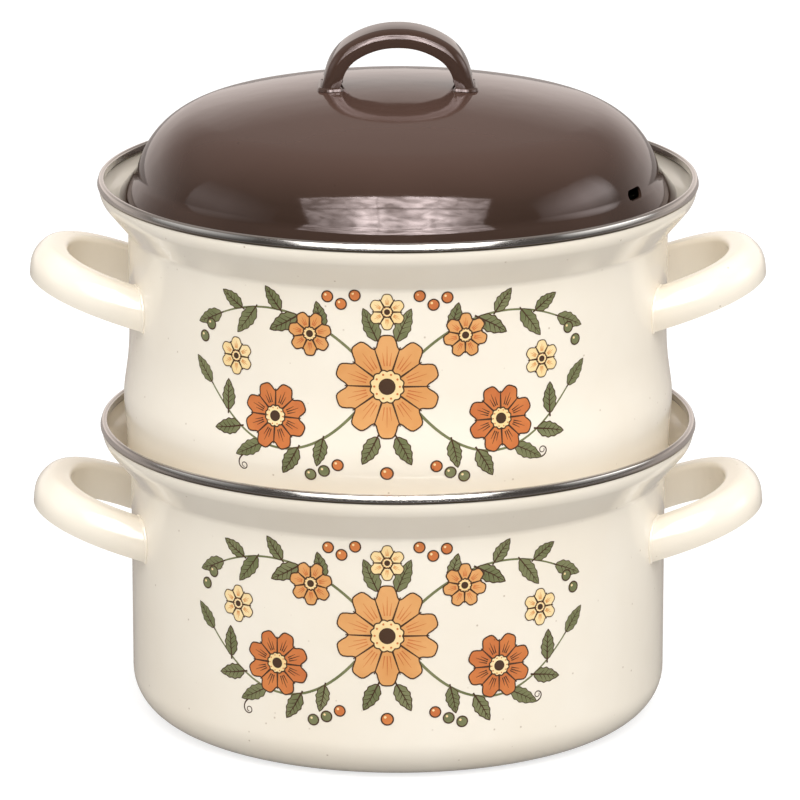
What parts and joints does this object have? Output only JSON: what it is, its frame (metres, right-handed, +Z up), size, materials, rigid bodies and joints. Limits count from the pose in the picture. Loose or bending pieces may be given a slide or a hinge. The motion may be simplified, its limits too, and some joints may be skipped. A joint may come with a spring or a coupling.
{
  "type": "potato steamer",
  "caption": "Stacked enamelled steamer: water pot, perforated steamer pot seated in its collar, and a domed lid with a steam slot; loop side handles and an arched lid handle.",
  "frame": {"origin": "centre of the water pot's flat underside, on the axis of the stack", "axes": "+Z up along the stack's axis; X along the line of the side handles, +X to the right as seen from the front; -Y towards the front"},
  "size_m": [0.3296, 0.268, 0.3133],
  "materials": {
    "cream_enamel": "glossy cream vitreous enamel on pressed steel, with faint fine specks",
    "brown_enamel": "glossy dark brown vitreous enamel on pressed steel",
    "rim_steel": "bright polished stainless steel band"
  },
  "bodies": {
    "water_pot": {"lower_pot": "cream_enamel", "lower_rim_band": "rim_steel", "lower_handle_left": "cream_enamel", "lower_handle_right": "cream_enamel"},
    "steamer": {"steamer_pot": "cream_enamel", "steamer_rim_band": "rim_steel", "steamer_handle_left": "cream_enamel", "steamer_handle_right": "cream_enamel"},
    "lid": {"lid": "brown_enamel", "lid_handle": "brown_enamel"}
  },
  "joints": [
    {"name": "steamer_lift", "type": "slide", "parent": "water_pot", "child": "steamer", "axis": [0, 0, 1], "range_m": [0, 0.08]},
    {"name": "lid_lift", "type": "slide", "parent": "steamer", "child": "lid", "axis": [0, 0, 1], "range_m": [0, 0.06]}
  ]
}
